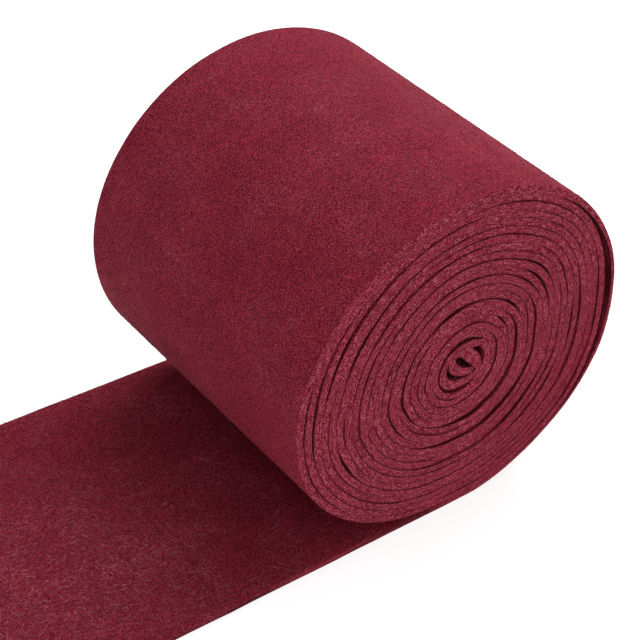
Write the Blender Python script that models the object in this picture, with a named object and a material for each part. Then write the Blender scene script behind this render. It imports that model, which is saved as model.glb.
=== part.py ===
"""A roll of felt: one long strip wound on itself with no core, resting on its own loose end.

The strip's length runs along X, its width along Y, and Z is up. The origin is on the underside of
the loose end, below the roll's middle and half way across the strip's width. The roll's shape is
given round its eye, in angles that run from +X towards +Z.
"""

import math

import bpy
import numpy as np

# Driving dimensions, in metres.
FELT_WIDTH = 0.100
FELT_THICKNESS = 0.0021
AIR_GAP = 0.0003  # between the wound form and the loose end
TAIL_LENGTH = 0.150  # from the origin to the cut end

# The eye, where the strip's inner end is folded over.
EYE_X = 0.0030
EYE_Z = 0.0547

# The outermost turn leaves the wound form at this angle and becomes the loose end, which comes
# down the +X side, passes under the roll and lies out towards -X.
PARTING = 40.0

# One whole turn of the wound form's outline, spiralling inwards from the parting. A pressed roll
# isn't round: it sags over its flat spot and bulges where its turns are looser.
WOUND_TURN = (
    # angle, radius in mm
    (40, 55.7),
    (60, 55.6),
    (75, 55.8),
    (105, 56.8),
    (135, 58.1),
    (165, 58.7),
    (195, 57.6),
    (225, 55.3),
    (255, 53.1),
    (270, 52.4),
    (285, 53.6),
    (300, 54.4),
    (315, 55.6),
    (330, 56.6),
    (345, 55.7),
    (360, 54.6),
    (375, 54.1),
    (400, 53.2),
)

# The outer face of the loose end, from where it lies flat under the roll up to the parting. It
# stands off the wound form down the +X side.
OUTER_STRETCH = (
    # angle, radius in mm
    (-90, 54.7),
    (-80, 55.5),
    (-75, 56.1),
    (-60, 57.0),
    (-45, 58.2),
    (-30, 59.4),
    (-15, 59.4),
    (0, 58.2),
    (15, 57.3),
    (30, 56.2),
    (40, 55.7),
)

# Places where one turn stands off the next inside the roll. Share is the turn's size as a share
# of the wound form's outline, the two angles say where the gap starts and ends, and width is its
# widest.
LOOSE_PLACES = (
    # share, start, end, width in mm
    (0.748, 288, 354, 1.6),
    (0.785, 190, 219, 0.7),
    (0.388, 80, 132, 0.9),
    (0.380, 234, 350, 1.4),
    (0.175, 202, 282, 1.0),
)

# The holes that the folded inner end leaves at the eye, each a pointed oval.
EYE_HOLES = (
    # along X and up from the eye, length, height, all in mm, and tilt
    (4.5, 2.5, 7.2, 2.4, -44),
    (-0.6, 0.5, 7.6, 1.8, -37),
    (-4.0, -2.6, 8.6, 2.0, -42),
)

MM = 0.001
TURN_STEPS = 120  # straight steps in one whole turn
LOOSE_STEPS = 52  # steps in the curved stretch of the loose end
TAIL_STEPS = 10
HOLE_STEPS = 18  # steps along each side of a gap or a hole
CUTTER_OVERRUN = 0.005  # how far a cutter passes each end face
SMOOTH_ANGLE = math.radians(30)

FELT_COLOUR = (0.215, 0.012, 0.036, 1.0)
FELT_ROUGHNESS = 0.95

HALF_WIDTH = FELT_WIDTH / 2


def clear_scene():
    """Removes every object, so that only the roll is left."""
    for old in list(bpy.data.objects):
        bpy.data.objects.remove(old, do_unlink=True)


def felt_material(name):
    """A matt wine-red felt."""
    material = bpy.data.materials.new(name)
    material.use_nodes = True
    shader = material.node_tree.nodes["Principled BSDF"]
    shader.inputs["Base Color"].default_value = FELT_COLOUR
    shader.inputs["Roughness"].default_value = FELT_ROUGHNESS
    shader.inputs["Metallic"].default_value = 0.0
    return material


def add_object(name, points, faces):
    """Makes a mesh object, smooth but for its cut edges."""
    mesh = bpy.data.meshes.new(name)
    mesh.from_pydata([tuple(point) for point in points], [], faces)
    mesh.validate()
    mesh.shade_smooth()
    mesh.set_sharp_from_angle(angle=SMOOTH_ANGLE)
    made = bpy.data.objects.new(name, mesh)
    bpy.context.scene.collection.objects.link(made)
    return made


def prism(name, outline, near, far):
    """Carries a closed outline of (x, z) points, listed from +X towards +Z, from y = near to y = far."""
    count = len(outline)
    points = [(x, y, z) for y in (near, far) for x, z in outline]
    sides = [(i, i + count, (i + 1) % count + count, (i + 1) % count) for i in range(count)]
    near_cap = tuple(range(count))
    far_cap = tuple(range(2 * count - 1, count - 1, -1))
    return add_object(name, points, sides + [near_cap, far_cap])


def radius_at(table, angles):
    """Radius in metres at each angle: a cubic through the table's rows, its slope at a row that of the
    line between the rows on either side."""
    rows = np.array(table, float)
    slopes = np.gradient(rows[:, 1], rows[:, 0])
    angles = np.asarray(angles, float)
    i = np.clip(np.searchsorted(rows[:, 0], angles, side="right") - 1, 0, len(rows) - 2)
    span = rows[i + 1, 0] - rows[i, 0]
    t = (angles - rows[i, 0]) / span
    from_left = rows[i, 1] * (1 + 2 * t) * (1 - t) ** 2 + slopes[i] * span * t * (1 - t) ** 2
    from_right = rows[i + 1, 1] * (3 - 2 * t) * t**2 - slopes[i + 1] * span * t**2 * (1 - t)
    return (from_left + from_right) * MM


def round_eye(radii, angles):
    """The (x, z) points at these radii and angles from the eye."""
    turns = np.radians(angles)
    return np.stack([EYE_X + radii * np.cos(turns), EYE_Z + radii * np.sin(turns)], axis=1)


def flattened(points, lowest):
    """The points with none below this height."""
    return np.stack([points[:, 0], np.maximum(points[:, 1], lowest)], axis=1)


def wound_outline():
    """One spiral turn, closed by the step at the parting, flat where it rests on the loose end."""
    angles = np.linspace(PARTING, PARTING + 360, TURN_STEPS + 1)
    outline = round_eye(radius_at(WOUND_TURN, angles), angles)
    return flattened(outline, FELT_THICKNESS + AIR_GAP)


def crescent_outline(share, start, end, width):
    """A gap between two turns: a turn's own curve, thickened by a swell that closes at both ends."""
    part = np.linspace(0, 1, HOLE_STEPS + 1)
    angles = start + (end - start) * part
    middle = share * radius_at(WOUND_TURN, angles)
    swell = width * MM / 2 * np.sin(np.pi * part)
    outer = round_eye(middle + swell, angles)
    inner = round_eye(middle - swell, angles)
    return np.concatenate([outer, inner[-2:0:-1]])


def hole_outline(along_x, up, length, height, tilt):
    """A pointed oval: two sides that swell apart along a tilted line."""
    part = np.linspace(0, 1, HOLE_STEPS + 1)
    along = length * (part - 0.5)
    swell = height / 2 * np.sin(np.pi * part)
    lower = np.stack([along, -swell], axis=1)
    upper = np.stack([along, swell], axis=1)
    flat = np.concatenate([lower, upper[-2:0:-1]]) * MM
    cos, sin = math.cos(math.radians(tilt)), math.sin(math.radians(tilt))
    turned = flat @ np.array([[cos, sin], [-sin, cos]])
    return turned + (EYE_X + along_x * MM, EYE_Z + up * MM)


def cut_through(wound, name, outline):
    """Cuts this outline through the wound form from end face to end face."""
    cutter = prism(name, outline, -HALF_WIDTH - CUTTER_OVERRUN, HALF_WIDTH + CUTTER_OVERRUN)
    cutter.hide_render = True
    cutter.display_type = "WIRE"
    cut = wound.modifiers.new(name, "BOOLEAN")
    cut.operation = "DIFFERENCE"
    cut.object = cutter


def make_wound_roll():
    """The wound form, with the eye's holes and the gaps between its turns cut through it."""
    wound = prism("wound_roll", wound_outline(), -HALF_WIDTH, HALF_WIDTH)
    wound.data.materials.append(felt_material("felt_wound"))
    for number, row in enumerate(EYE_HOLES):
        cut_through(wound, f"cut_eye_{number}", hole_outline(*row))
    for number, row in enumerate(LOOSE_PLACES):
        cut_through(wound, f"cut_gap_{number}", crescent_outline(*row))


def loose_faces():
    """The outer and inner faces of the loose end, from the cut end of the tail to the parting, as
    (x, z) points: the inner face is the outer one moved in by the felt's thickness, square to it."""
    tail_x = np.linspace(-TAIL_LENGTH, EYE_X, TAIL_STEPS + 1)[:-1]
    tail = np.stack([tail_x, np.zeros(TAIL_STEPS)], axis=1)
    last = PARTING - math.degrees(AIR_GAP / (WOUND_TURN[0][1] * MM))
    angles = np.linspace(OUTER_STRETCH[0][0], last, LOOSE_STEPS + 1)
    curve = flattened(round_eye(radius_at(OUTER_STRETCH, angles), angles), 0)
    outer = np.concatenate([tail, curve])
    run = np.gradient(outer, axis=0)
    run /= np.linalg.norm(run, axis=1)[:, None]
    inward = np.stack([-run[:, 1], run[:, 0]], axis=1)
    return outer, outer + FELT_THICKNESS * inward


def make_loose_end():
    """The outermost turn's last stretch and the flat tail, as one bent sheet."""
    outer, inner = loose_faces()
    outline = np.concatenate([outer, inner[::-1]])
    count = len(outer)
    points = [(x, y, z) for y in (-HALF_WIDTH, HALF_WIDTH) for x, z in outline]
    around = 2 * count
    faces = [(i, i + around, (i + 1) % around + around, (i + 1) % around) for i in range(around)]
    for i in range(count - 1):
        near = (i, i + 1, around - 2 - i, around - 1 - i)
        faces.append(near)
        faces.append(tuple(corner + around for corner in reversed(near)))
    loose = add_object("loose_end", points, faces)
    loose.data.materials.append(felt_material("felt_loose"))


def main():
    clear_scene()
    make_wound_roll()
    make_loose_end()


main()
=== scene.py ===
"""Draws a roll of felt strip with its loose end laid out flat: one strip wound from a folded core, and
its fibres."""

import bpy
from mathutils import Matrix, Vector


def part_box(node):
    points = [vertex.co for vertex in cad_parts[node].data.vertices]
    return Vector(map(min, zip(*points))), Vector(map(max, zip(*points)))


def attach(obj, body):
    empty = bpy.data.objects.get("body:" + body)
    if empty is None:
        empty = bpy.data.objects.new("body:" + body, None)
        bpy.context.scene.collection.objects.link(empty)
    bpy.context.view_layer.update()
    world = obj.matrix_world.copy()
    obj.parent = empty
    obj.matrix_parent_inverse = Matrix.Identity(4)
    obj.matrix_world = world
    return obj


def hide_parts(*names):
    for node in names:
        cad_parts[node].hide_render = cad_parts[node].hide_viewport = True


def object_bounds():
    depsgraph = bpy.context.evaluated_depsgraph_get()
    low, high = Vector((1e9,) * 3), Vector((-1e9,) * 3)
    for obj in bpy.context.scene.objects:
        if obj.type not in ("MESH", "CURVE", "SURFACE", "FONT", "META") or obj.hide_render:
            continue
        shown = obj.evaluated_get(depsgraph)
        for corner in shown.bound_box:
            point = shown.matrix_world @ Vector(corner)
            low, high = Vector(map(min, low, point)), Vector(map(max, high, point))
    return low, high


bl_info = {
    "name": "Roll of felt",
    "version": (1, 0, 0),
    "blender": (4, 5, 0),
    "location": "3D View > Sidebar > Felt",
    "description": "Winds a strip of felt into a roll with a loose end, and sets it on a pale studio floor",
    "category": "Object",
}

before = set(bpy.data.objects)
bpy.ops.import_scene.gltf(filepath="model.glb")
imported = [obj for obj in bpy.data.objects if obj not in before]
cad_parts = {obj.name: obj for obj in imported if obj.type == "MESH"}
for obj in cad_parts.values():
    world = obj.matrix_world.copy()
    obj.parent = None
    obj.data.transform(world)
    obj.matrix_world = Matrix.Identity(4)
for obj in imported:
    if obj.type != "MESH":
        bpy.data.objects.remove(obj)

import math

import bpy
import numpy as np
from mathutils import Euler, Vector

CAD_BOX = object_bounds()
END_LOW, END_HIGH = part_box("loose_end")

MM = 0.001
EYE = np.array((3.0, 54.7)) * MM  # the middle of the winding: x and height
INNER_TURNS = 21.0  # turns from the floor in to the inner ring
WINDING_STARTS = 19.28  # turns in from the floor where the folded core hands over to the winding
PARTING = 40.0  # direction, in degrees, at which the outer strand leaves the wound form

# The folded core, from the cut inner end outwards: x, height and thickness, in mm.
CORE = (
    (6.6, 50.9, 2.2),
    (5.2, 51.2, 2.5),
    (3.5, 51.55, 2.8),
    (1.7, 52.2, 3.0),
    (0.1, 53.2, 3.3),
    (-1.2, 54.7, 3.2),
    (-1.8, 56.5, 2.5),
    (-1.4, 58.1, 2.2),
    (-0.1, 59.0, 2.4),
    (1.8, 58.9, 3.3),
    (3.55, 57.8, 4.0),
    (5.3, 56.15, 4.1),
    (6.8, 54.6, 3.9),
    (7.8, 53.1, 3.3),
    (8.6, 51.6, 2.7),
    (8.6, 50.2, 2.3),
    (7.8, 49.2, 2.3),
    (6.2, 48.5, 2.4),
    (4.2, 48.05, 2.6),
    (2.2, 47.95, 2.75),
    (0.1, 48.2, 2.85),
    (-2.0, 49.0, 2.95),
    (-4.0, 50.7, 2.9),
    (-5.0, 52.8, 2.6),
    (-5.15, 55.0, 2.3),
    (-4.7, 57.2, 2.2),
    (-3.5, 59.1, 2.3),
    (-1.7, 60.3, 2.5),
    (0.4, 61.0, 2.6),
    (2.5, 61.25, 2.7),
    (4.6, 60.95, 2.9),
    (6.0, 60.75, 2.6),
    (7.4, 60.4, 2.4),
    (8.8, 59.6, 2.35),
    (9.9, 58.4, 2.3),
    (10.7, 57.1, 2.25),
)
# The ring round the core from which the turns are counted outwards: direction in degrees, radius in mm.
INNER_RING = (
    (-90, 6.4),
    (-60, 6.3),
    (-40, 5.9),
    (-20, 5.5),
    (0, 5.05),
    (25, 4.95),
    (46, 4.8),
    (70, 4.35),
    (90, 4.25),
    (110, 4.45),
    (130, 4.95),
    (152, 5.8),
    (178, 6.2),
    (205, 6.8),
    (225, 6.7),
    (245, 6.4),
)
# The places where two turns stand apart: turns in from the floor, first and last direction in degrees, and
# width in mm.
OPENINGS = (
    (1, -42, 42, 1.95),
    (1, 150, 186, 0.35),
    (2, 148, 202, 0.45),
    (3, 116, 192, 0.6),
    (5, -62, 22, 0.4),
    (5, 128, 168, 0.4),
    (5, 190, 219, 0.6),
    (6, -22, 14, 0.55),
    (6, 172, 200, 0.45),
    (7, -72, -6, 1.7),
    (9, 18, 70, 0.45),
    (10, 14, 66, 0.6),
    (11, 20, 72, 0.35),
    (12, -8, 46, 0.45),
    (12, 186, 228, 0.3),
    (14, 12, 74, 0.6),
    (14, 76, 142, 0.85),
    (14, 176, 224, 0.45),
    (14, 226, 374, 1.7),
    (16, 16, 64, 0.45),
    (17, 172, 208, 0.4),
    (18, -64, -24, 0.4),
    (19, -70, -20, 0.35),
    (19, 56, 146, 0.7),
    (19, 200, 318, 1.0),
)
GLINT_PATCH_AT = np.array((-112.0, -20.0, 2.0))  # the middle of the painted highlight patch on the loose end, in mm
GLINT_PATCH_FULL, GLINT_PATCH_GONE = 8 * MM, 66 * MM  # how far from its middle the painted highlight starts to fade, and ends
PAINTED_SHADE_COLOUR = (0.03, 0.0016, 0.004)  # linear colour of the painted shade between two turns and on the loose end's cut edge
SNUG = 0.06  # mm left between two turns that lie pressed together
FELT = 2.1 * MM  # thickness of the felt where nothing presses it
LOOSE_STRAND = 1.35  # mm: thickness of the outer strand where it stands off, pulled thin
LAST_TURN = 348 * MM  # length of the last turn, of which the outer face shows
FAR_GROWTH = 0.0088  # share by which the wound form is larger at its far face than at its near one
NEAR_PROUD = 0.45  # mm by which the near face stands proud of the nominal width
FAR_PROUD = 0.15  # mm by which the wound form's far face does
ROLL_HAIR = 0.8 * MM  # the middling length of a loose fibre on the roll
TAIL_HAIR = 1.6 * MM  # the same on the loose end
EDGE_HAIR = 0.5 * MM  # the same on a cut edge
NEAR_FLOOR = 3 * MM  # height under which fibres on a cut edge only point upwards
CAMERA_PLACE = (-0.25732, -0.29284, 0.32865)
CAMERA_TURN = (53.170, -4.188, -37.258)  # degrees about X, Y and Z
CAMERA_LENS = 90.66  # mm, on a sensor 36 mm wide


def add_group(owner, name, kind):
    """A place on the scene for one group of settings."""
    setattr(owner, name, bpy.props.PointerProperty(type=kind))


class FeltRollSizes(bpy.types.PropertyGroup):
    """Sizes of the strip and of the hairs on it."""

    thickness: bpy.props.FloatProperty(
        name="Felt thickness",
        description="Thickness of the strip where nothing presses it",
        default=FELT,
        min=0.5 * MM,
        max=5 * MM,
        unit="LENGTH",
        precision=4,
    )
    width: bpy.props.FloatProperty(
        name="Strip width",
        description="Width of the strip from cut edge to cut edge",
        default=float(END_HIGH[1] - END_LOW[1]),
        min=0.01,
        unit="LENGTH",
    )
    edge_round: bpy.props.FloatProperty(
        name="Edge rounding",
        description="Radius at the corners of the cut edges",
        default=0.2 * MM,
        min=0.05 * MM,
        max=0.8 * MM,
        unit="LENGTH",
        precision=5,
    )
    hair_width: bpy.props.FloatProperty(
        name="Hair width",
        description="Thickness of one loose fibre or bundle of fibres",
        default=0.09 * MM,
        min=0.01 * MM,
        unit="LENGTH",
        precision=6,
    )
    side_hairs: bpy.props.IntProperty(
        name="Hairs on the roll",
        description="Loose fibres on the outside of the roll",
        default=15500,
        min=0,
        max=16500,
    )
    tail_hairs: bpy.props.IntProperty(
        name="Hairs on the loose end",
        description="Loose fibres on the part that lies flat",
        default=15500,
        min=0,
        max=16500,
    )
    edge_hairs: bpy.props.IntProperty(
        name="Hairs on each cut face",
        description="Fibre ends that stand out of the cut edges, on either face of the roll",
        default=15500,
        min=0,
        max=16500,
    )


class FeltRollColours(bpy.types.PropertyGroup):
    """Colours of the felt and of the floor, as linear values."""

    felt: bpy.props.FloatVectorProperty(
        name="Felt",
        description="Dyed colour of the felt",
        subtype="COLOR",
        size=3,
        default=(0.221, 0.0088, 0.0265),
        min=0,
        max=1,
    )
    deep: bpy.props.FloatVectorProperty(
        name="Between the fibres",
        description="Colour seen down between the fibres",
        subtype="COLOR",
        size=3,
        default=(0.070, 0.0020, 0.0065),
        min=0,
        max=1,
    )
    fibre: bpy.props.FloatVectorProperty(
        name="Lit fibres",
        description="Colour of the fibres that lie on top and catch the light",
        subtype="COLOR",
        size=3,
        default=(0.68, 0.22, 0.29),
        min=0,
        max=1,
    )
    floor: bpy.props.FloatVectorProperty(
        name="Floor",
        description="Colour of the studio floor",
        subtype="COLOR",
        size=3,
        default=(0.5, 0.5, 0.5),
        min=0,
        max=1,
    )


# ---------------------------------------------------------------------------------------------- shapes


def through(rows, at):
    """A smooth curve through rows of (place, value, ...): between two rows it is the cubic that meets
    both rows' values and the slopes that each row takes from its neighbours."""
    rows = np.asarray(rows, float)
    place, value = rows[:, 0], rows[:, 1:]
    slope = np.gradient(value, place, axis=0)
    low = np.clip(np.searchsorted(place, at, side="right") - 1, 0, len(place) - 2)
    span = (place[low + 1] - place[low])[:, None]
    t = (np.asarray(at)[:, None] - place[low][:, None]) / span
    return (
        value[low] * (2 * t**3 - 3 * t**2 + 1)
        + slope[low] * span * (t**3 - 2 * t**2 + t)
        + value[low + 1] * (3 * t**2 - 2 * t**3)
        + slope[low + 1] * span * (t**3 - t**2)
    )


def round_ring(rows, directions):
    """The radius of a closed ring, given by rows of (direction, radius), at other directions: the rows
    are repeated a turn before and a turn after, so that the curve closes smoothly."""
    rows = np.asarray(rows, float)
    around = np.concatenate([rows + (shift, 0) for shift in (-360, 0, 360)])
    return through(around, directions)[:, 0]


def smooth_noise(at, wave, amount, seed):
    """A slow random wave along a line: the sum of five sines whose lengths run from 0.6 to 1.8 times
    wave, with seeded phases, scaled to about plus or minus amount."""
    rng = np.random.default_rng(seed)
    lengths = wave * np.linspace(0.6, 1.8, 5)
    phases = rng.uniform(0, 2 * math.pi, 5)
    waves = np.sin(2 * math.pi * np.asarray(at)[:, None] / lengths + phases)
    return amount * waves.sum(axis=1) / 2.2


def reach(node, first, last):
    """Rows of (direction, radius from the eye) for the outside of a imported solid: in each step of 5
    degrees, its furthest corner."""
    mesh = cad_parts[node].data
    points = np.empty(len(mesh.vertices) * 3)
    mesh.vertices.foreach_get("co", points)
    away = points.reshape(-1, 3)[:, [0, 2]] - EYE
    radius = np.hypot(away[:, 0], away[:, 1])
    turned = np.degrees(np.arctan2(away[:, 1], away[:, 0]))
    turned = (turned - first + 1e-3) % 360 + first - 1e-3
    kept = (turned <= last + 1e-3) & (radius > 20 * MM)
    radius, turned = radius[kept], turned[kept]
    step = np.floor((turned - first) / 5).astype(int)
    order = np.lexsort((radius, step))
    furthest = order[np.append(np.diff(step[order]) > 0, True)]
    return np.stack([turned[furthest], radius[furthest]], axis=1)


def direction_of(turns):
    """Direction round the eye, in degrees from +X towards +Z, of a point so many turns in from the
    floor."""
    return (turns % 1.0) * 360.0 - 90.0


def opened(turns):
    """How far the openings nearer the eye push a point outwards: each opening is a half wave squared over
    its own stretch of direction, and it counts for every turn outside it."""
    total = np.zeros_like(turns)
    for turn, first, last, width in OPENINGS:
        starts, span = turn + (first + 90) / 360, (last - first) / 360
        past = (turns - starts) % 1.0
        outside = (starts + past - turns) > 0.5
        bump = np.sin(math.pi * np.clip(past / span, 0, 1)) ** 2
        total += width * MM * bump * outside * (past < span)
    return total


def winding_sides():
    """(turns, outer radius, thickness) along the winding. Outer radius = inner ring + turns outside it x
    pitch + openings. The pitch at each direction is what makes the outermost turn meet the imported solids'
    outline."""
    roll = reach("wound_roll", PARTING + 2, 269.5)
    strand = reach("loose_end", -90, PARTING)
    outline = np.concatenate([strand, roll])
    outline = outline[np.append(np.diff(outline[:, 0]) > 0.5, True)]
    directions = np.linspace(-90, 270, 721)
    out = directions / 360 + 0.25
    target = np.interp(directions, outline[:, 0], outline[:, 1])
    kernel = np.hanning(15)
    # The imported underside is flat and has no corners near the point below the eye: the floor limits it there.
    floor = EYE[1] / np.cos(np.radians(np.clip(directions + 90, 0, 60)))
    target = np.where(directions < -30, np.minimum(target, floor), target)
    soft = np.convolve(np.pad(target, 7, mode="edge"), kernel / kernel.sum(), "valid")
    soft = np.where(directions < -30, np.minimum(soft, floor), soft)
    ring = round_ring(np.array(INNER_RING) * (1, MM), directions)
    pitch = (soft - ring - opened(out)) / (INNER_TURNS - out)
    seam = (pitch[0] + pitch[-1]) / 2
    near = np.clip(1 - np.arange(721) / 60, 0, 1)
    pitch += (seam - pitch[0]) * near + (seam - pitch[-1]) * near[::-1]
    turns = np.linspace(WINDING_STARTS, 0, 16000)
    at = direction_of(turns)
    spread = np.interp(at, directions, pitch)
    radius = np.interp(at, directions, ring) + (INNER_TURNS - turns) * spread + opened(turns)
    last = np.clip(1 - turns / 0.15, 0, 1)
    radius += (np.interp(turns * 360 - 90, directions, soft) - radius) * last * (turns < 1)
    slope = np.gradient(radius, -np.radians(turns * 360))
    lean = radius / np.hypot(radius, slope)
    slack = SNUG * MM * (1 + smooth_noise(turns, 0.43, 0.8, 11))
    return turns, radius, spread * lean - slack


def strip_line(thickness):
    """(x and height, thickness) along the strip's middle line, from the cut inner end to the cut outer
    end: the folded core through its rows, the winding, and the straight run on the floor, joined, evened
    out and resampled so that the points are closest where the line bends most."""
    core = np.array(CORE) * MM
    gone = np.concatenate([[0], np.cumsum(np.hypot(*np.diff(core[:, :2], axis=0).T))])
    core = through(np.column_stack([gone, core]), np.linspace(0, gone[-1], 400))
    turns, radius, thick = winding_sides()
    angle = np.radians(direction_of(turns))
    side = EYE + radius[:, None] * np.stack([np.cos(angle), np.sin(angle)], axis=1)
    ease = np.clip((0.42 - turns) / 0.1, 0, 1)
    thin = thickness + (LOOSE_STRAND * MM - thickness) * np.clip(turns / 0.12 - 0.3, 0, 1)
    thick += (thin - thick) * ease
    run = np.gradient(side, axis=0)
    run /= np.hypot(run[:, 0], run[:, 1])[:, None]
    middle = side - np.stack([-run[:, 1], run[:, 0]], axis=1) * thick[:, None] / 2
    flat_x = np.linspace(EYE[0] - 1.5 * MM, float(END_LOW[0]), 500)
    flat = np.stack([flat_x, np.full(500, thickness / 2)], axis=1)
    line = np.concatenate([core[:, :2], middle, flat])
    thick = np.concatenate([core[:, 2], thick, np.full(500, thickness)])
    # Evened out: a step of 0.25 mm, then a mean over about 1.5 mm.
    gone = np.concatenate([[0], np.cumsum(np.hypot(*np.diff(line, axis=0).T))])
    even = np.arange(0, gone[-1], 0.25 * MM)
    data = np.column_stack([line, thick])
    data = np.column_stack([np.interp(even, gone, data[:, i]) for i in range(3)])
    kernel = np.hanning(9)
    kernel /= kernel.sum()
    ends = np.pad(data, ((4, 4), (0, 0)), mode="reflect", reflect_type="odd")
    data = np.column_stack([np.convolve(ends[:, i], kernel, "valid") for i in range(3)])
    run = np.gradient(data[:, :2], axis=0)
    heading = np.unwrap(np.arctan2(run[:, 1], run[:, 0]))
    bend = np.abs(np.gradient(heading, even))
    bend = np.convolve(np.pad(bend, 10, mode="edge"), np.full(21, 1 / 21), "valid")
    need = np.concatenate([[0], np.cumsum((bend / math.radians(4.2) + 1 / 0.007)[1:] * 0.25 * MM)])
    count = int(need[-1]) + 1
    return np.column_stack(
        [np.interp(np.linspace(0, need[-1], count), need, data[:, i]) for i in range(3)]
    )


def line_frame(line):
    """Distance gone and outward normal along the middle line: the normal is the run turned a quarter to
    the left."""
    step = np.hypot(*np.diff(line[:, :2], axis=0).T)
    gone = np.concatenate([[0], np.cumsum(step)])
    run = np.gradient(line[:, :2], gone, axis=0)
    run /= np.hypot(run[:, 0], run[:, 1])[:, None]
    return gone, np.stack([-run[:, 1], run[:, 0]], axis=1)


def flat_from(gone):
    """Distance along the strip at which it passes under the eye and starts to lie flat."""
    return gone[-1] - (EYE[0] - END_LOW[0])


def settled(points):
    """Points moved to where the wound form has settled: it is a little larger towards its far face,
    growing about the line on which it touches the floor, and its two faces stand a little proud. The flat
    loose end doesn't grow."""
    x, y, z = np.moveaxis(points, -1, 0)
    wound = np.clip((z - 2.2 * MM) / (4 * MM), 0, 1)
    wound = wound * wound * (3 - 2 * wound)
    side = y / (END_HIGH[1] - END_LOW[1])
    grow = FAR_GROWTH * np.clip(side + 0.5, 0, 1.1) * wound
    proud = 2 * MM * (np.clip(side, 0, 1) * FAR_PROUD * wound + np.clip(side, -1, 0) * NEAR_PROUD)
    return np.stack([x + grow * (x - EYE[0]), y + proud, z * (1 + grow)], axis=-1)


def section(edge_round):
    """The strip's cross-section as whole arrays: (side across the width, -1 to 1; side through the
    thickness; offset in from the width's edge; offset in from the face; cut-edge share; how much painted
    shade it takes, down between two turns), once round, starting on the outer face."""
    r = edge_round
    steps = (0.0, 0.7 * MM, 22 * MM)
    # The last column is painted shade: full on both faces, 0.8 at a rounded corner, 0.3 where the rounding ends
    # and none across the middle of the cut edge.
    outer = [(-1, 1, r + s, 0, 0, 1) for s in steps] + [(0, 1, 0, 0, 0, 1)]
    outer += [(1, 1, r + s, 0, 0, 1) for s in steps[::-1]]
    turn, band = r * (1 - math.sqrt(0.5)), r + 0.15 * MM
    upper = [(1, 1, turn, turn, 0.7, 0.8), (1, 1, 0, r, 1, 0.3), (1, 1, 0, band, 1, 0), (1, 0, 0, 0, 1, 0)]
    far = upper + [(y, -b, *rest) for y, b, *rest in upper[2::-1]]
    inner = [(y, -b, *rest) for y, b, *rest in outer[::-1]]
    near = [(-y, -b, *rest) for y, b, *rest in far]
    return np.array(outer + far + inner + near, float)


def edge_sway(at, end):
    """How far the strip's two edges stand to one side at distances along it: two slow waves, less on the
    loose end."""
    sway = smooth_noise(at, 0.16, 0.36 * MM, 3) + smooth_noise(at, 0.045, 0.08 * MM, 4)
    return sway * np.clip((end - at - 0.25) / 0.5, 0.2, 1)


def strip_mesh(line, width, edge_round):
    """The strip: its rounded rectangular section carried along the middle line, the width along Y and the
    thickness along the normal. The width's edges wander a little, as a wound strip's do, and both cut
    ends are closed."""
    gone, normal = line_frame(line)
    ring = section(edge_round)
    # Three more stations round off each cut end: the section is drawn in by a quarter circle.
    lead = edge_round * np.array((0.0, 0.29, 1.0, 3.0))
    inset = edge_round * np.array((1.0, 0.29, 0.0, 0.0))
    at = np.concatenate([lead, gone[1:-1], gone[-1] - lead[::-1]])
    at = at[np.argsort(at, kind="stable")]
    stations = np.concatenate([lead, gone[-1] - lead[::-1]])
    draw_in = np.interp(at, stations, np.concatenate([inset, inset[::-1]]))
    place = np.column_stack([np.interp(at, gone, line[:, i]) for i in range(3)])
    out = np.column_stack([np.interp(at, gone, normal[:, i]) for i in range(2)])
    out /= np.hypot(out[:, 0], out[:, 1])[:, None]
    sway = edge_sway(at, gone[-1])
    across, through_, in_y, in_n, cut, painted_shade = ring.T
    y = across * (width / 2) - across * in_y - across * draw_in[:, None]
    y = y + sway[:, None]
    y += across * smooth_noise(at, 0.021, 0.05 * MM, 5)[:, None] * np.abs(across)
    deep = through_ * (place[:, 2:] / 2 - in_n - draw_in[:, None])
    x = place[:, :1] + out[:, :1] * deep
    z = place[:, 1:2] + out[:, 1:] * deep
    points = settled(np.stack([x, y, z], axis=2))
    # Unfolded coordinates in metres: along the strip, and once round its section.
    flat_y = across * (width / 2 - in_y)
    flat_n = through_ * (FELT / 2 - in_n)
    closed = np.stack([np.append(flat_y, flat_y[0]), np.append(flat_n, flat_n[0])])
    around = np.concatenate([[0], np.cumsum(np.hypot(*np.diff(closed)))])
    # The last turn's outer face and the loose end's upper face are in the open and get no painted shade;
    # the other faces get painted shade as if down between two turns.
    flat = flat_from(gone)
    last_turn = (at > flat - LAST_TURN) & (at < flat - 5 * MM)
    opening = np.clip((at - flat) / (12 * MM), 0, 1)[:, None]
    # Painted shade on the loose end's cut edge, coming in over its first 6 mm.
    tail_edge_shade = np.clip((at - flat) / (6 * MM), 0, 1)[:, None] * cut
    painted_shade = np.where(through_ > 0, painted_shade * np.where(last_turn, 0.0, 1.0)[:, None], painted_shade * (1 - 0.85 * opening))
    return points, at, around, cut * (1 - 0.85 * opening), np.maximum(painted_shade, tail_edge_shade)


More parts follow.
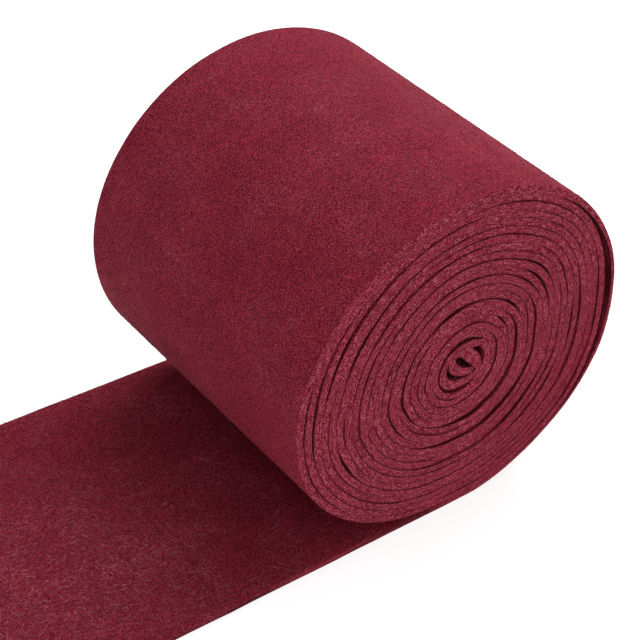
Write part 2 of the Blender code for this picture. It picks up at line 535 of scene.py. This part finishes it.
def surface_object(name, points, at, around, shares):
    """A mesh object from a grid of points that closes round its second way, with its two ends capped, its
    faces outward, its unfolded coordinates as a UV map and each named share as an attribute."""
    n, m = points.shape[:2]
    index = np.arange(n * m).reshape(n, m)
    ahead = np.roll(index, -1, axis=1)
    quads = np.stack([index[:-1], index[1:], ahead[1:], ahead[:-1]], axis=2).reshape(-1, 4)
    loops = np.concatenate([quads.ravel(), index[0], index[-1, ::-1]])
    counts = np.concatenate([np.full(len(quads), 4), (m, m)])
    before = np.broadcast_to(at[:-1, None], (n - 1, m))
    after = np.broadcast_to(at[1:, None], (n - 1, m))
    u = np.stack([before, after, after, before], axis=2)
    v = np.stack([around[:-1], around[:-1], around[1:], around[1:]], axis=1)[None] + 0 * u
    uv = np.stack([u, v], axis=3).reshape(-1, 2)
    caps = [np.stack([at[0] - points[0, :, 2], points[0, :, 1]], axis=1)]
    caps.append(np.stack([at[-1] + points[-1, ::-1, 2], points[-1, ::-1, 1]], axis=1))
    mesh = make_mesh(name, points.reshape(-1, 3), loops, counts)
    lie = mesh.uv_layers.new(name="lie")
    lie.uv.foreach_set("vector", np.concatenate([uv, *caps]).astype(np.float32).ravel())
    for key, share in shares.items():
        mesh.attributes.new(key, "FLOAT", "POINT").data.foreach_set("value", share.astype(np.float32).ravel())
    return add_object(name, mesh)


def make_mesh(name, points, loops, counts):
    """A mesh from arrays: its points, the point of every face corner, and each face's number of corners."""
    mesh = bpy.data.meshes.new(name)
    mesh.vertices.add(len(points))
    mesh.vertices.foreach_set("co", np.ascontiguousarray(points, np.float32).ravel())
    mesh.loops.add(len(loops))
    mesh.loops.foreach_set("vertex_index", np.ascontiguousarray(loops, np.int32))
    mesh.polygons.add(len(counts))
    starts = np.concatenate([[0], np.cumsum(counts)[:-1]])
    mesh.polygons.foreach_set("loop_start", starts.astype(np.int32))
    mesh.polygons.foreach_set("loop_total", np.asarray(counts, np.int32))
    mesh.polygons.foreach_set("use_smooth", np.asarray(counts) < 6)
    mesh.update(calc_edges=True)
    mesh.validate()
    return mesh


def add_object(name, mesh):
    """An object at the origin that shows the mesh; one left by an earlier run is removed."""
    old = bpy.data.objects.get(name)
    if old is not None:
        bpy.data.objects.remove(old)
    obj = bpy.data.objects.new(name, mesh)
    bpy.context.scene.collection.objects.link(obj)
    return obj


def hair_mesh(name, roots, along, up, length, width, rise, bend, tone):
    """Many hairs in one mesh. A hair's middle line starts under the surface, leaves it along a vector in
    the surface, bends sideways with the square of the way gone and rises as a shallow bow. Round it are
    two three-sided rings between two closed points."""
    way = np.array((0.0, 0.33, 0.7, 1.0))
    bow = np.array((-0.15, 0.75, 1.0, 0.7))
    wide = np.array((0.0, 1.0, 0.8, 0.0))
    side = np.cross(up, along)
    middle = (
        roots[:, None]
        + along[:, None] * (way * length[:, None])[..., None]
        + side[:, None] * (way**2 * (bend * length)[:, None])[..., None]
        + up[:, None] * (bow * rise[:, None])[..., None]
    )
    turn = np.radians((90, 210, 330))
    spoke = side[:, None] * np.cos(turn)[:, None] + up[:, None] * np.sin(turn)[:, None]
    rings = middle[:, 1:3, None] + spoke[:, None] * (wide[1:3, None] * width[:, None, None] / 2)[..., None]
    points = settled(np.concatenate([middle[:, :1], rings.reshape(-1, 6, 3), middle[:, 3:]], axis=1))
    shape = np.array(
        [0, 2, 1, 0, 3, 2, 0, 1, 3, 7, 4, 5, 7, 5, 6, 7, 6, 4, 1, 2, 5, 4, 2, 3, 6, 5, 3, 1, 4, 6]
    )
    loops = (np.arange(len(roots))[:, None] * 8 + shape).ravel()
    counts = np.tile((3, 3, 3, 3, 3, 3, 4, 4, 4), len(roots))
    mesh = make_mesh(name, points.reshape(-1, 3), loops, counts)
    value = mesh.attributes.new("tone", "FLOAT", "POINT")
    value.data.foreach_set("value", np.repeat(tone, 8).astype(np.float32))
    return add_object(name, mesh)


def on_line(line, gone, normal, at):
    """Middle point, thickness and outward normal at distances along the strip."""
    place = np.column_stack([np.interp(at, gone, line[:, i]) for i in range(3)])
    out = np.column_stack([np.interp(at, gone, normal[:, i]) for i in range(2)])
    return place, out / np.hypot(out[:, 0], out[:, 1])[:, None]


def lay_hairs(name, line, width, first, last, face, count, long, hair, seed):
    """Hairs lying on one face of the strip between two distances along it: the root is anywhere on the
    face, the direction any in the face's own plane, most of them short and a few long."""
    rng = np.random.default_rng(seed)
    gone, normal = line_frame(line)
    at = rng.uniform(first, last, count)
    place, out = on_line(line, gone, normal, at)
    y = rng.uniform(-1, 1, count) * (width / 2 - 0.2 * MM)
    up = face * np.stack([out[:, 0], np.zeros(count), out[:, 1]], axis=1)
    run = np.stack([out[:, 1], np.zeros(count), -out[:, 0]], axis=1)
    roots = np.stack([place[:, 0], y, place[:, 1]], axis=1) + up * place[:, 2:] / 2
    angle = rng.uniform(0, 2 * math.pi, count)
    along = run * np.cos(angle)[:, None] + np.array((0, 1, 0)) * np.sin(angle)[:, None]
    length = np.exp(rng.normal(math.log(long), 0.45, count)).clip(0.3 * MM, 3 * long)
    room = (width / 2 - np.abs(y)) / np.abs(along[:, 1]).clip(0.01)
    length = np.minimum(length, room + 0.8 * MM)
    rise = rng.uniform(0.02, 0.08, count) * MM + 0.02 * length * rng.uniform(0, 1, count) ** 4
    thick = hair * rng.uniform(0.7, 1.4, count)
    bend = rng.normal(0, 0.5, count)
    return hair_mesh(name, roots, along, up, length, thick, rise, bend, rng.uniform(0, 1, count))


def edge_hairs(name, line, width, side, count, hair, seed):
    """Fibre ends on the cut edges of one face of the roll: each leaves the cut leaning any way in the
    face and stands out of it by a fraction of its length."""
    rng = np.random.default_rng(seed)
    gone, normal = line_frame(line)
    at = rng.uniform(0, gone[-1], count)
    place, out = on_line(line, gone, normal, at)
    y = side * width / 2 + edge_sway(at, gone[-1])
    level = rng.uniform(-0.5, 0.5, count) * (place[:, 2] - 0.2 * MM)
    base = place[:, :2] + out * level[:, None]
    roots = np.stack([base[:, 0], y, base[:, 1]], axis=1)
    up = np.tile((0.0, side, 0.0), (count, 1))
    angle = rng.uniform(0, 2 * math.pi, count)
    low = base[:, 1] < NEAR_FLOOR
    lift = np.where(low, np.abs(np.sin(angle)), np.sin(angle))
    along = np.stack([np.cos(angle), np.zeros(count), lift], axis=1)
    length = np.exp(rng.normal(math.log(EDGE_HAIR), 0.4, count)).clip(0.2 * MM, 1.4 * MM)
    rise = length * rng.uniform(0.05, 0.35, count)
    thick = hair * rng.uniform(0.8, 1.6, count)
    bend = rng.normal(0, 0.4, count)
    # Near the floor a hair leans and bends upwards only, so that none goes through the floor.
    bend = np.where(low, -side * np.sign(np.cos(angle)) * np.abs(bend), bend)
    return hair_mesh(name, roots, along, up, length, thick, rise, bend, rng.uniform(0, 1, count))


# ---------------------------------------------------------------------------------------------- materials


class Tree:
    """Adds nodes to one material and links them: a node, a socket or a plain value may be given for an
    input."""

    def __init__(self, name):
        self.material = bpy.data.materials.get(name) or bpy.data.materials.new(name)
        self.material.use_nodes = True
        self.tree = self.material.node_tree
        self.tree.nodes.clear()
        self.count = 0

    def add(self, kind, inputs=None, **settings):
        node = self.tree.nodes.new(kind)
        node.location = (200 * (self.count % 8), -180 * (self.count // 8))
        self.count += 1
        for key, value in settings.items():
            setattr(node, key, value)
        for key, value in (inputs or {}).items():
            socket = node.inputs[key]
            if isinstance(value, bpy.types.NodeSocket):
                self.tree.links.new(value, socket)
            elif isinstance(value, (tuple, list)) and len(value) == 3 and socket.type == "RGBA":
                socket.default_value = (*value, 1.0)
            else:
                socket.default_value = value
        return node

    def math(self, operation, a, b=0.0, clamp=False):
        return self.add("ShaderNodeMath", {0: a, 1: b}, operation=operation, use_clamp=clamp).outputs[0]

    def vector(self, operation, inputs, output="Vector"):
        return self.add("ShaderNodeVectorMath", inputs, operation=operation).outputs[output]

    def span(self, value, low, high, to_low=0.0, to_high=1.0):
        inputs = {"Value": value, "From Min": low, "From Max": high, "To Min": to_low, "To Max": to_high}
        return self.add("ShaderNodeMapRange", inputs, interpolation_type="SMOOTHSTEP").outputs[0]

    def mix(self, share, a, b):
        return self.add("ShaderNodeMix", {0: share, 6: a, 7: b}, data_type="RGBA").outputs[2]

    def noise(self, vector, scale, detail=0.0, roughness=0.5, dimensions="3D"):
        inputs = {"Vector": vector, "Scale": scale, "Detail": detail, "Roughness": roughness}
        return self.add("ShaderNodeTexNoise", inputs, noise_dimensions=dimensions)

    def place(self, vector, turn, scale):
        inputs = {"Vector": vector, "Rotation": (0, 0, math.radians(turn)), "Scale": scale}
        return self.add("ShaderNodeMapping", inputs).outputs[0]


def fibre_layers(nodes, lie):
    """Short crossing fibres drawn on unfolded coordinates. Noise is stretched along four directions and
    bent by a slower noise; where it passes its middle value there is a thin line, and a second noise
    breaks the lines up. Returns how much of a fibre there is: 0 between the fibres and 1 on one."""
    wander = nodes.noise(lie, 900.0, 1.0, dimensions="2D").outputs["Color"]
    shift = nodes.vector("SUBTRACT", {0: wander, 1: (0.5, 0.5, 0.5)})
    shift = nodes.vector("SCALE", {0: shift, "Scale": 0.0012})
    bent = nodes.vector("ADD", {0: lie, 1: shift})
    total = None
    for turn, long, fine in ((17, 330, 2100), (63, 300, 1800), (112, 350, 2300), (156, 310, 1950)):
        stretched = nodes.place(bent, turn, (long, fine, 1))
        value = nodes.noise(stretched, 1.0, 0.0, dimensions="2D").outputs["Fac"]
        off = nodes.math("ABSOLUTE", nodes.math("SUBTRACT", value, 0.5))
        breaks = nodes.noise(nodes.place(bent, turn, (430, 1300, 1)), 1.0).outputs["Fac"]
        broken = nodes.span(breaks, 0.46, 0.58)
        line = nodes.math("MULTIPLY", nodes.span(off, 0.0, 0.045, 1.0, 0.0), broken)
        total = line if total is None else nodes.math("MAXIMUM", total, line)
    return total


def glint_patch(nodes, place):
    """Where the painted highlight of lit fibres falls: most about one point on the loose end, fading over a
    few centimetres, and slow clouds of it everywhere else."""
    centre = tuple(GLINT_PATCH_AT * MM)
    away = nodes.vector("DISTANCE", {0: place, 1: centre}, "Value")
    patch = nodes.span(away, GLINT_PATCH_FULL, GLINT_PATCH_GONE, 0.7, 0.1)
    cloud = nodes.span(nodes.noise(place, 52.0, 3.0, 0.6).outputs["Fac"], 0.36, 0.66, 0.0, 0.42)
    return nodes.math("ADD", patch, cloud, clamp=True)


def felt_material(name, colours):
    """Dyed felt: a dark ground, random specks a tone lighter that are partly grain and partly painted
    glints, fibre lines in the lit fibres' colour as a painted highlight, slow cloudy changes of tone, a
    speckled cut edge with streaks along the strip and painted highlight specks that thin out towards its
    lower right, and painted shade between the turns and on the loose end's cut edge. The fibres also
    raise the surface, and a soft sheen comes from the nap."""
    nodes = Tree(name)
    lie = nodes.add("ShaderNodeUVMap", uv_map="lie").outputs[0]
    place = nodes.add("ShaderNodeTexCoord").outputs["Object"]
    cut = nodes.add("ShaderNodeAttribute", attribute_name="cut_edge").outputs["Fac"]
    # The share of painted shade, down between the turns and on the loose end's cut edge.
    painted_shade = nodes.add("ShaderNodeAttribute", attribute_name="painted_shade").outputs["Fac"]
    lines = fibre_layers(nodes, lie)
    grain = nodes.noise(place, 3700.0, 0.0).outputs["Fac"]
    speck = nodes.noise(place, 3400.0, 0.0).outputs["Fac"]
    streak = nodes.noise(nodes.place(lie, 0, (420, 3000, 1)), 1.0, 0.0, dimensions="2D").outputs["Fac"]
    cloud = nodes.noise(place, 60.0, 3.0, 0.6).outputs["Fac"]
    # Painted light: the cut edge takes more of the lit fibres' pale specks towards the upper left, where the
    # light falls, and fewer towards the lower right.
    low = nodes.vector("DOT_PRODUCT", {0: place, 1: (0.75, 0.0, -0.65)}, "Value")
    lit_speck_share = nodes.span(low, -30 * MM, 30 * MM, 0.40, 0.20)
    felt, deep, pale = tuple(colours.felt), tuple(colours.deep), tuple(colours.fibre)
    # Random specks a tone lighter than the felt: partly grain, partly painted glints.
    glint_colour = tuple(1.75 * c + 0.026 for c in felt)
    ground = nodes.mix(nodes.span(grain, 0.38, 0.54), deep, tuple(1.1 * c for c in felt))
    with_glint_specks = nodes.mix(nodes.span(grain, 0.56, 0.66), ground, glint_colour)
    # Painted highlight: the fibre lines take the lit fibres' colour, most in the painted highlight patch.
    glinting_lines = nodes.math("MULTIPLY", lines, nodes.span(glint_patch(nodes, place), 0.0, 1.0, 0.05, 0.42))
    topped = nodes.mix(glinting_lines, with_glint_specks, pale)
    rough = nodes.math("ADD", nodes.math("MULTIPLY", speck, 0.74), nodes.math("MULTIPLY", streak, 0.26))
    shaded, lit = tuple(0.42 * c for c in felt), tuple(1.06 * c for c in felt)
    dull = nodes.mix(nodes.span(rough, 0.40, 0.50), shaded, lit)
    edge = nodes.mix(nodes.math("MULTIPLY", nodes.span(rough, 0.55, 0.63), lit_speck_share), dull, pale)
    colour = nodes.mix(cut, topped, edge)
    # Painted shade: towards a near-black red down between the turns and on the loose end's cut edge, broken up
    # by a slow noise along the strip.
    drawn = nodes.noise(nodes.place(lie, 0, (45, 300, 1)), 1.0, 1.0, dimensions="2D").outputs["Fac"]
    shade_share = nodes.math("MULTIPLY", painted_shade, nodes.span(drawn, 0.36, 0.62, 0.25, 0.9))
    colour = nodes.mix(shade_share, colour, PAINTED_SHADE_COLOUR)
    tone = nodes.span(cloud, 0.3, 0.7, 0.93, 1.07)
    toned = nodes.vector("SCALE", {0: colour, "Scale": tone})
    height = nodes.math("ADD", nodes.math("MULTIPLY", lines, 0.35), nodes.math("MULTIPLY", rough, 0.8))
    relief = nodes.add("ShaderNodeBump", {"Strength": 0.9, "Distance": 0.00015, "Height": height}).outputs[0]
    shader = nodes.add(
        "ShaderNodeBsdfPrincipled",
        {
            "Base Color": toned,
            "Roughness": 0.85,
            "Specular IOR Level": 0.06,
            "Sheen Weight": 0.12,
            "Sheen Roughness": 0.5,
            "Sheen Tint": (0.75, 0.13, 0.22),
            "Normal": relief,
        },
    )
    nodes.add("ShaderNodeOutputMaterial", {"Surface": shader.outputs[0]})
    return nodes.material


def hair_material(name, colours):
    """Loose fibres: each takes its own tone between the felt's colour and the lit fibres' paler one, a
    painted highlight that shows most in the painted highlight patch and in slow clouds."""
    nodes = Tree(name)
    tone = nodes.add("ShaderNodeAttribute", attribute_name="tone").outputs["Fac"]
    place = nodes.add("ShaderNodeTexCoord").outputs["Object"]
    felt, pale = tuple(colours.felt), tuple(colours.fibre)
    # Painted highlight: the share of the lit fibres' colour, by each hair's tone and the painted highlight
    # patch.
    share = nodes.math("MULTIPLY", nodes.span(tone, 0.45, 0.9, 0.05), glint_patch(nodes, place))
    colour = nodes.mix(share, tuple(1.15 * c for c in felt), pale)
    shader = nodes.add(
        "ShaderNodeBsdfPrincipled",
        {"Base Color": colour, "Roughness": 0.6, "Specular IOR Level": 0.15},
    )
    nodes.add("ShaderNodeOutputMaterial", {"Surface": shader.outputs[0]})
    return nodes.material


def floor_material(colours):
    """Pale matt studio floor, with a faint grain and a little light of its own so that it stays pale."""
    nodes = Tree("studio_floor")
    place = nodes.add("ShaderNodeTexCoord").outputs["Object"]
    grain = nodes.noise(place, 40.0, 2.0).outputs["Fac"]
    base = tuple(colours.floor)
    colour = nodes.mix(grain, tuple(0.99 * c for c in base), base)
    shader = nodes.add(
        "ShaderNodeBsdfPrincipled",
        {
            "Base Color": colour,
            "Roughness": 0.9,
            "Specular IOR Level": 0.1,
            "Emission Color": (1.0, 1.0, 1.0),
            "Emission Strength": 0.72,
        },
    )
    nodes.add("ShaderNodeOutputMaterial", {"Surface": shader.outputs[0]})
    return nodes.material


# ---------------------------------------------------------------------------------------------- operators


class FELTROLL_OT_strip(bpy.types.Operator):
    """Wind the strip of felt and lay its loose end out flat"""

    bl_idname = "felt_roll.strip"
    bl_label = "Wind the strip"

    def execute(self, context):
        sizes = context.scene.felt_roll_sizes
        line = strip_line(sizes.thickness)
        if not np.isfinite(line).all():
            raise RuntimeError("the strip's middle line holds a point that isn't a number")
        points, at, around, cut, painted_shade = strip_mesh(line, sizes.width, sizes.edge_round)
        # The second attribute holds the painted shade between the turns and on the loose end's cut edge.
        strip = surface_object("felt_strip", points, at, around, {"cut_edge": cut, "painted_shade": painted_shade})
        strip.data.materials.append(felt_material("felt", context.scene.felt_roll_colours))
        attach(strip, "root")
        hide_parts("wound_roll", "loose_end")
        return {"FINISHED"}


class FELTROLL_OT_face_hairs(bpy.types.Operator):
    """Lay loose fibres on the outside of the roll and on the loose end"""

    bl_idname = "felt_roll.face_hairs"
    bl_label = "Lay fibres on the faces"

    def execute(self, context):
        sizes, colours = context.scene.felt_roll_sizes, context.scene.felt_roll_colours
        line = strip_line(sizes.thickness)
        gone = line_frame(line)[0]
        flat = flat_from(gone)
        wound = (flat - LAST_TURN, flat - 14 * MM)
        loose = (flat - 4 * MM, gone[-1] - 1 * MM)
        fine, coarse = sizes.hair_width, 1.5 * sizes.hair_width
        roll = lay_hairs("roll_hairs", line, sizes.width, *wound, 1, sizes.side_hairs, ROLL_HAIR, fine, 21)
        tail = lay_hairs("tail_hairs", line, sizes.width, *loose, -1, sizes.tail_hairs, TAIL_HAIR, coarse, 22)
        for piece in (roll, tail):
            piece.data.materials.append(hair_material("face_hairs", colours))
            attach(piece, "root")
        return {"FINISHED"}


class FELTROLL_OT_edge_hairs(bpy.types.Operator):
    """Stand short fibre ends out of the cut edges on both faces of the roll"""

    bl_idname = "felt_roll.edge_hairs"
    bl_label = "Lay fibres on the cut edges"

    def execute(self, context):
        sizes, colours = context.scene.felt_roll_sizes, context.scene.felt_roll_colours
        line = strip_line(sizes.thickness)
        for name, side, seed in (("near_edge_hairs", -1, 31), ("far_edge_hairs", 1, 32)):
            piece = edge_hairs(name, line, sizes.width, side, sizes.edge_hairs, sizes.hair_width, seed)
            piece.data.materials.append(hair_material("edge_hairs", colours))
            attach(piece, "root")
        return {"FINISHED"}


class FELTROLL_OT_declare(bpy.types.Operator):
    bl_idname = "felt_roll.declare"
    bl_label = "Declare the sheet"

    def execute(self, context):
        sizes = context.scene.felt_roll_sizes
        gone = line_frame(strip_line(sizes.thickness))[0]
        return {"FINISHED"}


class FELTROLL_OT_stage(bpy.types.Operator):
    """Set the pale floor, the soft lights and the camera"""

    bl_idname = "felt_roll.stage"
    bl_label = "Set the stage"

    def execute(self, context):
        scene = context.scene
        colours = scene.felt_roll_colours
        half = 4.0
        corners = np.array(((-half, -half, 0), (half, -half, 0), (half, half, 0), (-half, half, 0)))
        corners[:, 2] = CAD_BOX[0][2] - 0.1 * MM
        floor = add_object("studio_floor", make_mesh("studio_floor", corners, np.arange(4), np.array((4,))))
        floor.data.materials.append(floor_material(colours))
        world = bpy.data.worlds.get("studio") or bpy.data.worlds.new("studio")
        world.use_nodes = True
        ground = world.node_tree.nodes["Background"]
        ground.inputs["Color"].default_value = (1.0, 1.0, 1.0, 1.0)
        ground.inputs["Strength"].default_value = 0.52
        scene.world = world
        add_light("key", (0.55, 0.35, 0.95), 1.0, 10.5)
        add_light("fill", (0.1, -1.2, 0.45), 1.0, 4.6)
        add_camera(scene)
        scene.view_settings.view_transform = "Standard"
        return {"FINISHED"}


def add_light(name, place, size, power):
    """A square soft light that faces the roll."""
    lamp = bpy.data.lights.new(name, "AREA")
    lamp.shape, lamp.size, lamp.energy = "SQUARE", size, power
    obj = bpy.data.objects.new(name, lamp)
    obj.location = place
    aim = Vector((0.0, 0.0, 0.05)) - Vector(place)
    obj.rotation_euler = aim.to_track_quat("-Z", "Y").to_euler()
    bpy.context.scene.collection.objects.link(obj)


def add_camera(scene):
    """A long lens that looks down on the near face of the roll from its left, leaning a little to the
    left."""
    data = bpy.data.cameras.new("camera")
    data.sensor_width, data.lens = 36.0, CAMERA_LENS
    data.clip_start, data.clip_end = 0.01, 50.0
    obj = bpy.data.objects.new("camera", data)
    obj.location = CAMERA_PLACE
    obj.rotation_euler = Euler([math.radians(a) for a in CAMERA_TURN], "XYZ")
    scene.collection.objects.link(obj)
    scene.camera = obj


class FELTROLL_PT_panel(bpy.types.Panel):
    """The roll's settings and the steps that build it"""

    bl_label = "Roll of felt"
    bl_idname = "FELTROLL_PT_panel"
    bl_space_type = "VIEW_3D"
    bl_region_type = "UI"
    bl_category = "Felt"

    def draw(self, context):
        layout = self.layout
        for group in (context.scene.felt_roll_sizes, context.scene.felt_roll_colours):
            box = layout.box()
            for key in group.__annotations__:
                box.prop(group, key)
        for step in STEPS:
            layout.operator(step.bl_idname)


STEPS = (
    FELTROLL_OT_strip,
    FELTROLL_OT_face_hairs,
    FELTROLL_OT_edge_hairs,
    FELTROLL_OT_declare,
    FELTROLL_OT_stage,
)
GROUPS = (FeltRollSizes, FeltRollColours)


def register():
    for kind in (*GROUPS, *STEPS, FELTROLL_PT_panel):
        bpy.utils.register_class(kind)
    add_group(bpy.types.Scene, "felt_roll_sizes", FeltRollSizes)
    add_group(bpy.types.Scene, "felt_roll_colours", FeltRollColours)


def unregister():
    del bpy.types.Scene.felt_roll_colours
    del bpy.types.Scene.felt_roll_sizes
    for kind in (FELTROLL_PT_panel, *STEPS[::-1], *GROUPS[::-1]):
        bpy.utils.unregister_class(kind)


def main():
    register()
    for step in STEPS:
        group, call = step.bl_idname.split(".")
        getattr(getattr(bpy.ops, group), call)()


if __name__ == "__main__":
    main()
